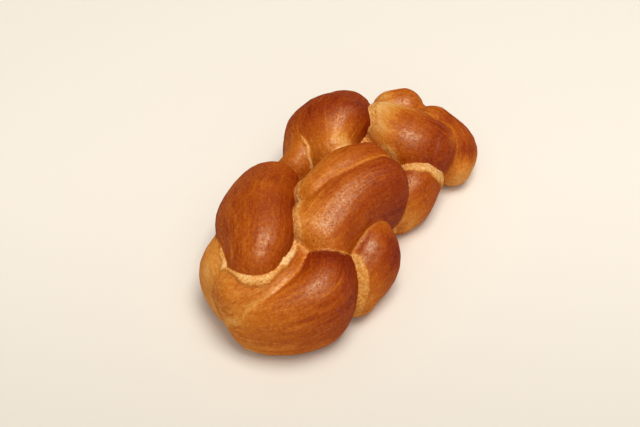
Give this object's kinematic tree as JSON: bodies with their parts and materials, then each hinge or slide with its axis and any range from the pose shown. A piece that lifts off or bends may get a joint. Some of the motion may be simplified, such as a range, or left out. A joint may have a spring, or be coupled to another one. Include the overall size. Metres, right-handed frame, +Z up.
{
  "type": "braided loaf",
  "caption": "Small plaited milk loaf with a glossy brown crust, broad at one end and narrow at the other, flat underneath.",
  "frame": {"origin": "centre of the loaf's box, on its flat sole", "axes": "+X along the loaf from its broad nose to its narrow tail, +Y to its left, +Z up out of the sole"},
  "size_m": [0.152, 0.0832, 0.0462],
  "materials": {
    "crust": "egg-washed bread crust, golden to dark reddish brown, soft satin gloss, pale torn dough between the strands"
  },
  "bodies": {
    "root": {"braided_loaf": "crust"}
  },
  "joints": []
}
